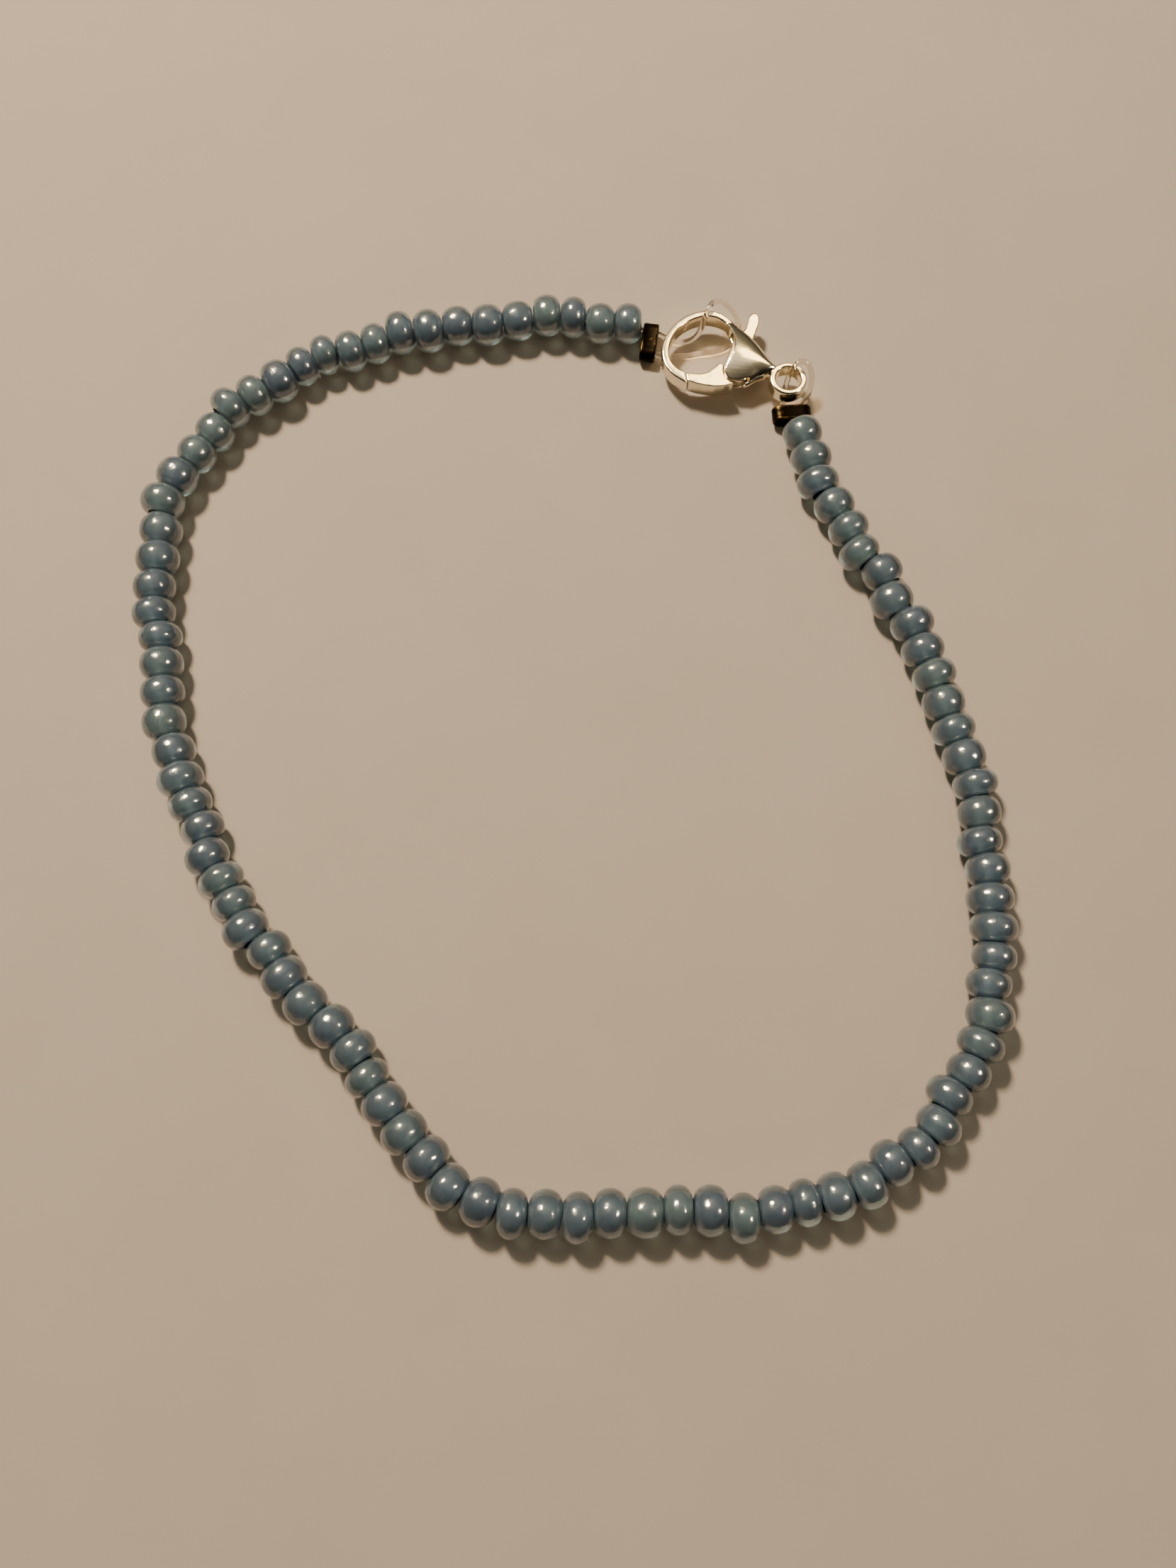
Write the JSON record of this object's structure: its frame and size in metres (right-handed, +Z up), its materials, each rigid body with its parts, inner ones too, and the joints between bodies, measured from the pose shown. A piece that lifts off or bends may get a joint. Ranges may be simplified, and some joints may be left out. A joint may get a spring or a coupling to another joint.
{
  "type": "glass bead bracelet",
  "caption": "Closed single-strand bracelet of small round blue glass beads on clear cord, with a flat crimp at each end and a lobster claw clasp whose sprung lever opens its hook.",
  "frame": {"origin": "under the middle of the bracelet as it lies closed, on the surface it rests on", "axes": "+Z up off the surface; +Y from the far side of the loop towards the clasp end; +X to the right, from the left string to the right string as seen from above with the clasp at the top right"},
  "size_m": [0.06, 0.0676, 0.0032],
  "materials": {
    "blue_glass": "polished translucent glass with a pearly blue core",
    "dark_bronze": "dark antique plating, satin",
    "clear_nylon": "clear and smooth",
    "silver_plate": "bright silver plating"
  },
  "bodies": {
    "bracelet": {"bead_string_left": "blue_glass", "bead_string_right": "blue_glass", "crimp_left": "dark_bronze", "crimp_right": "dark_bronze", "hook_loop": "clear_nylon", "eye_loop": "clear_nylon", "clasp_body": "silver_plate"},
    "lever": {"clasp_lever": "silver_plate"}
  },
  "joints": [
    {"name": "lever_hinge", "type": "hinge", "parent": "bracelet", "child": "lever", "pos_m": [0.0129, 0.02723, 0.00155], "axis": [0, 0, -1], "range_deg": [0, 22], "stiffness_Nm_per_rad": 0.0015, "springref_deg": -18.91}
  ]
}
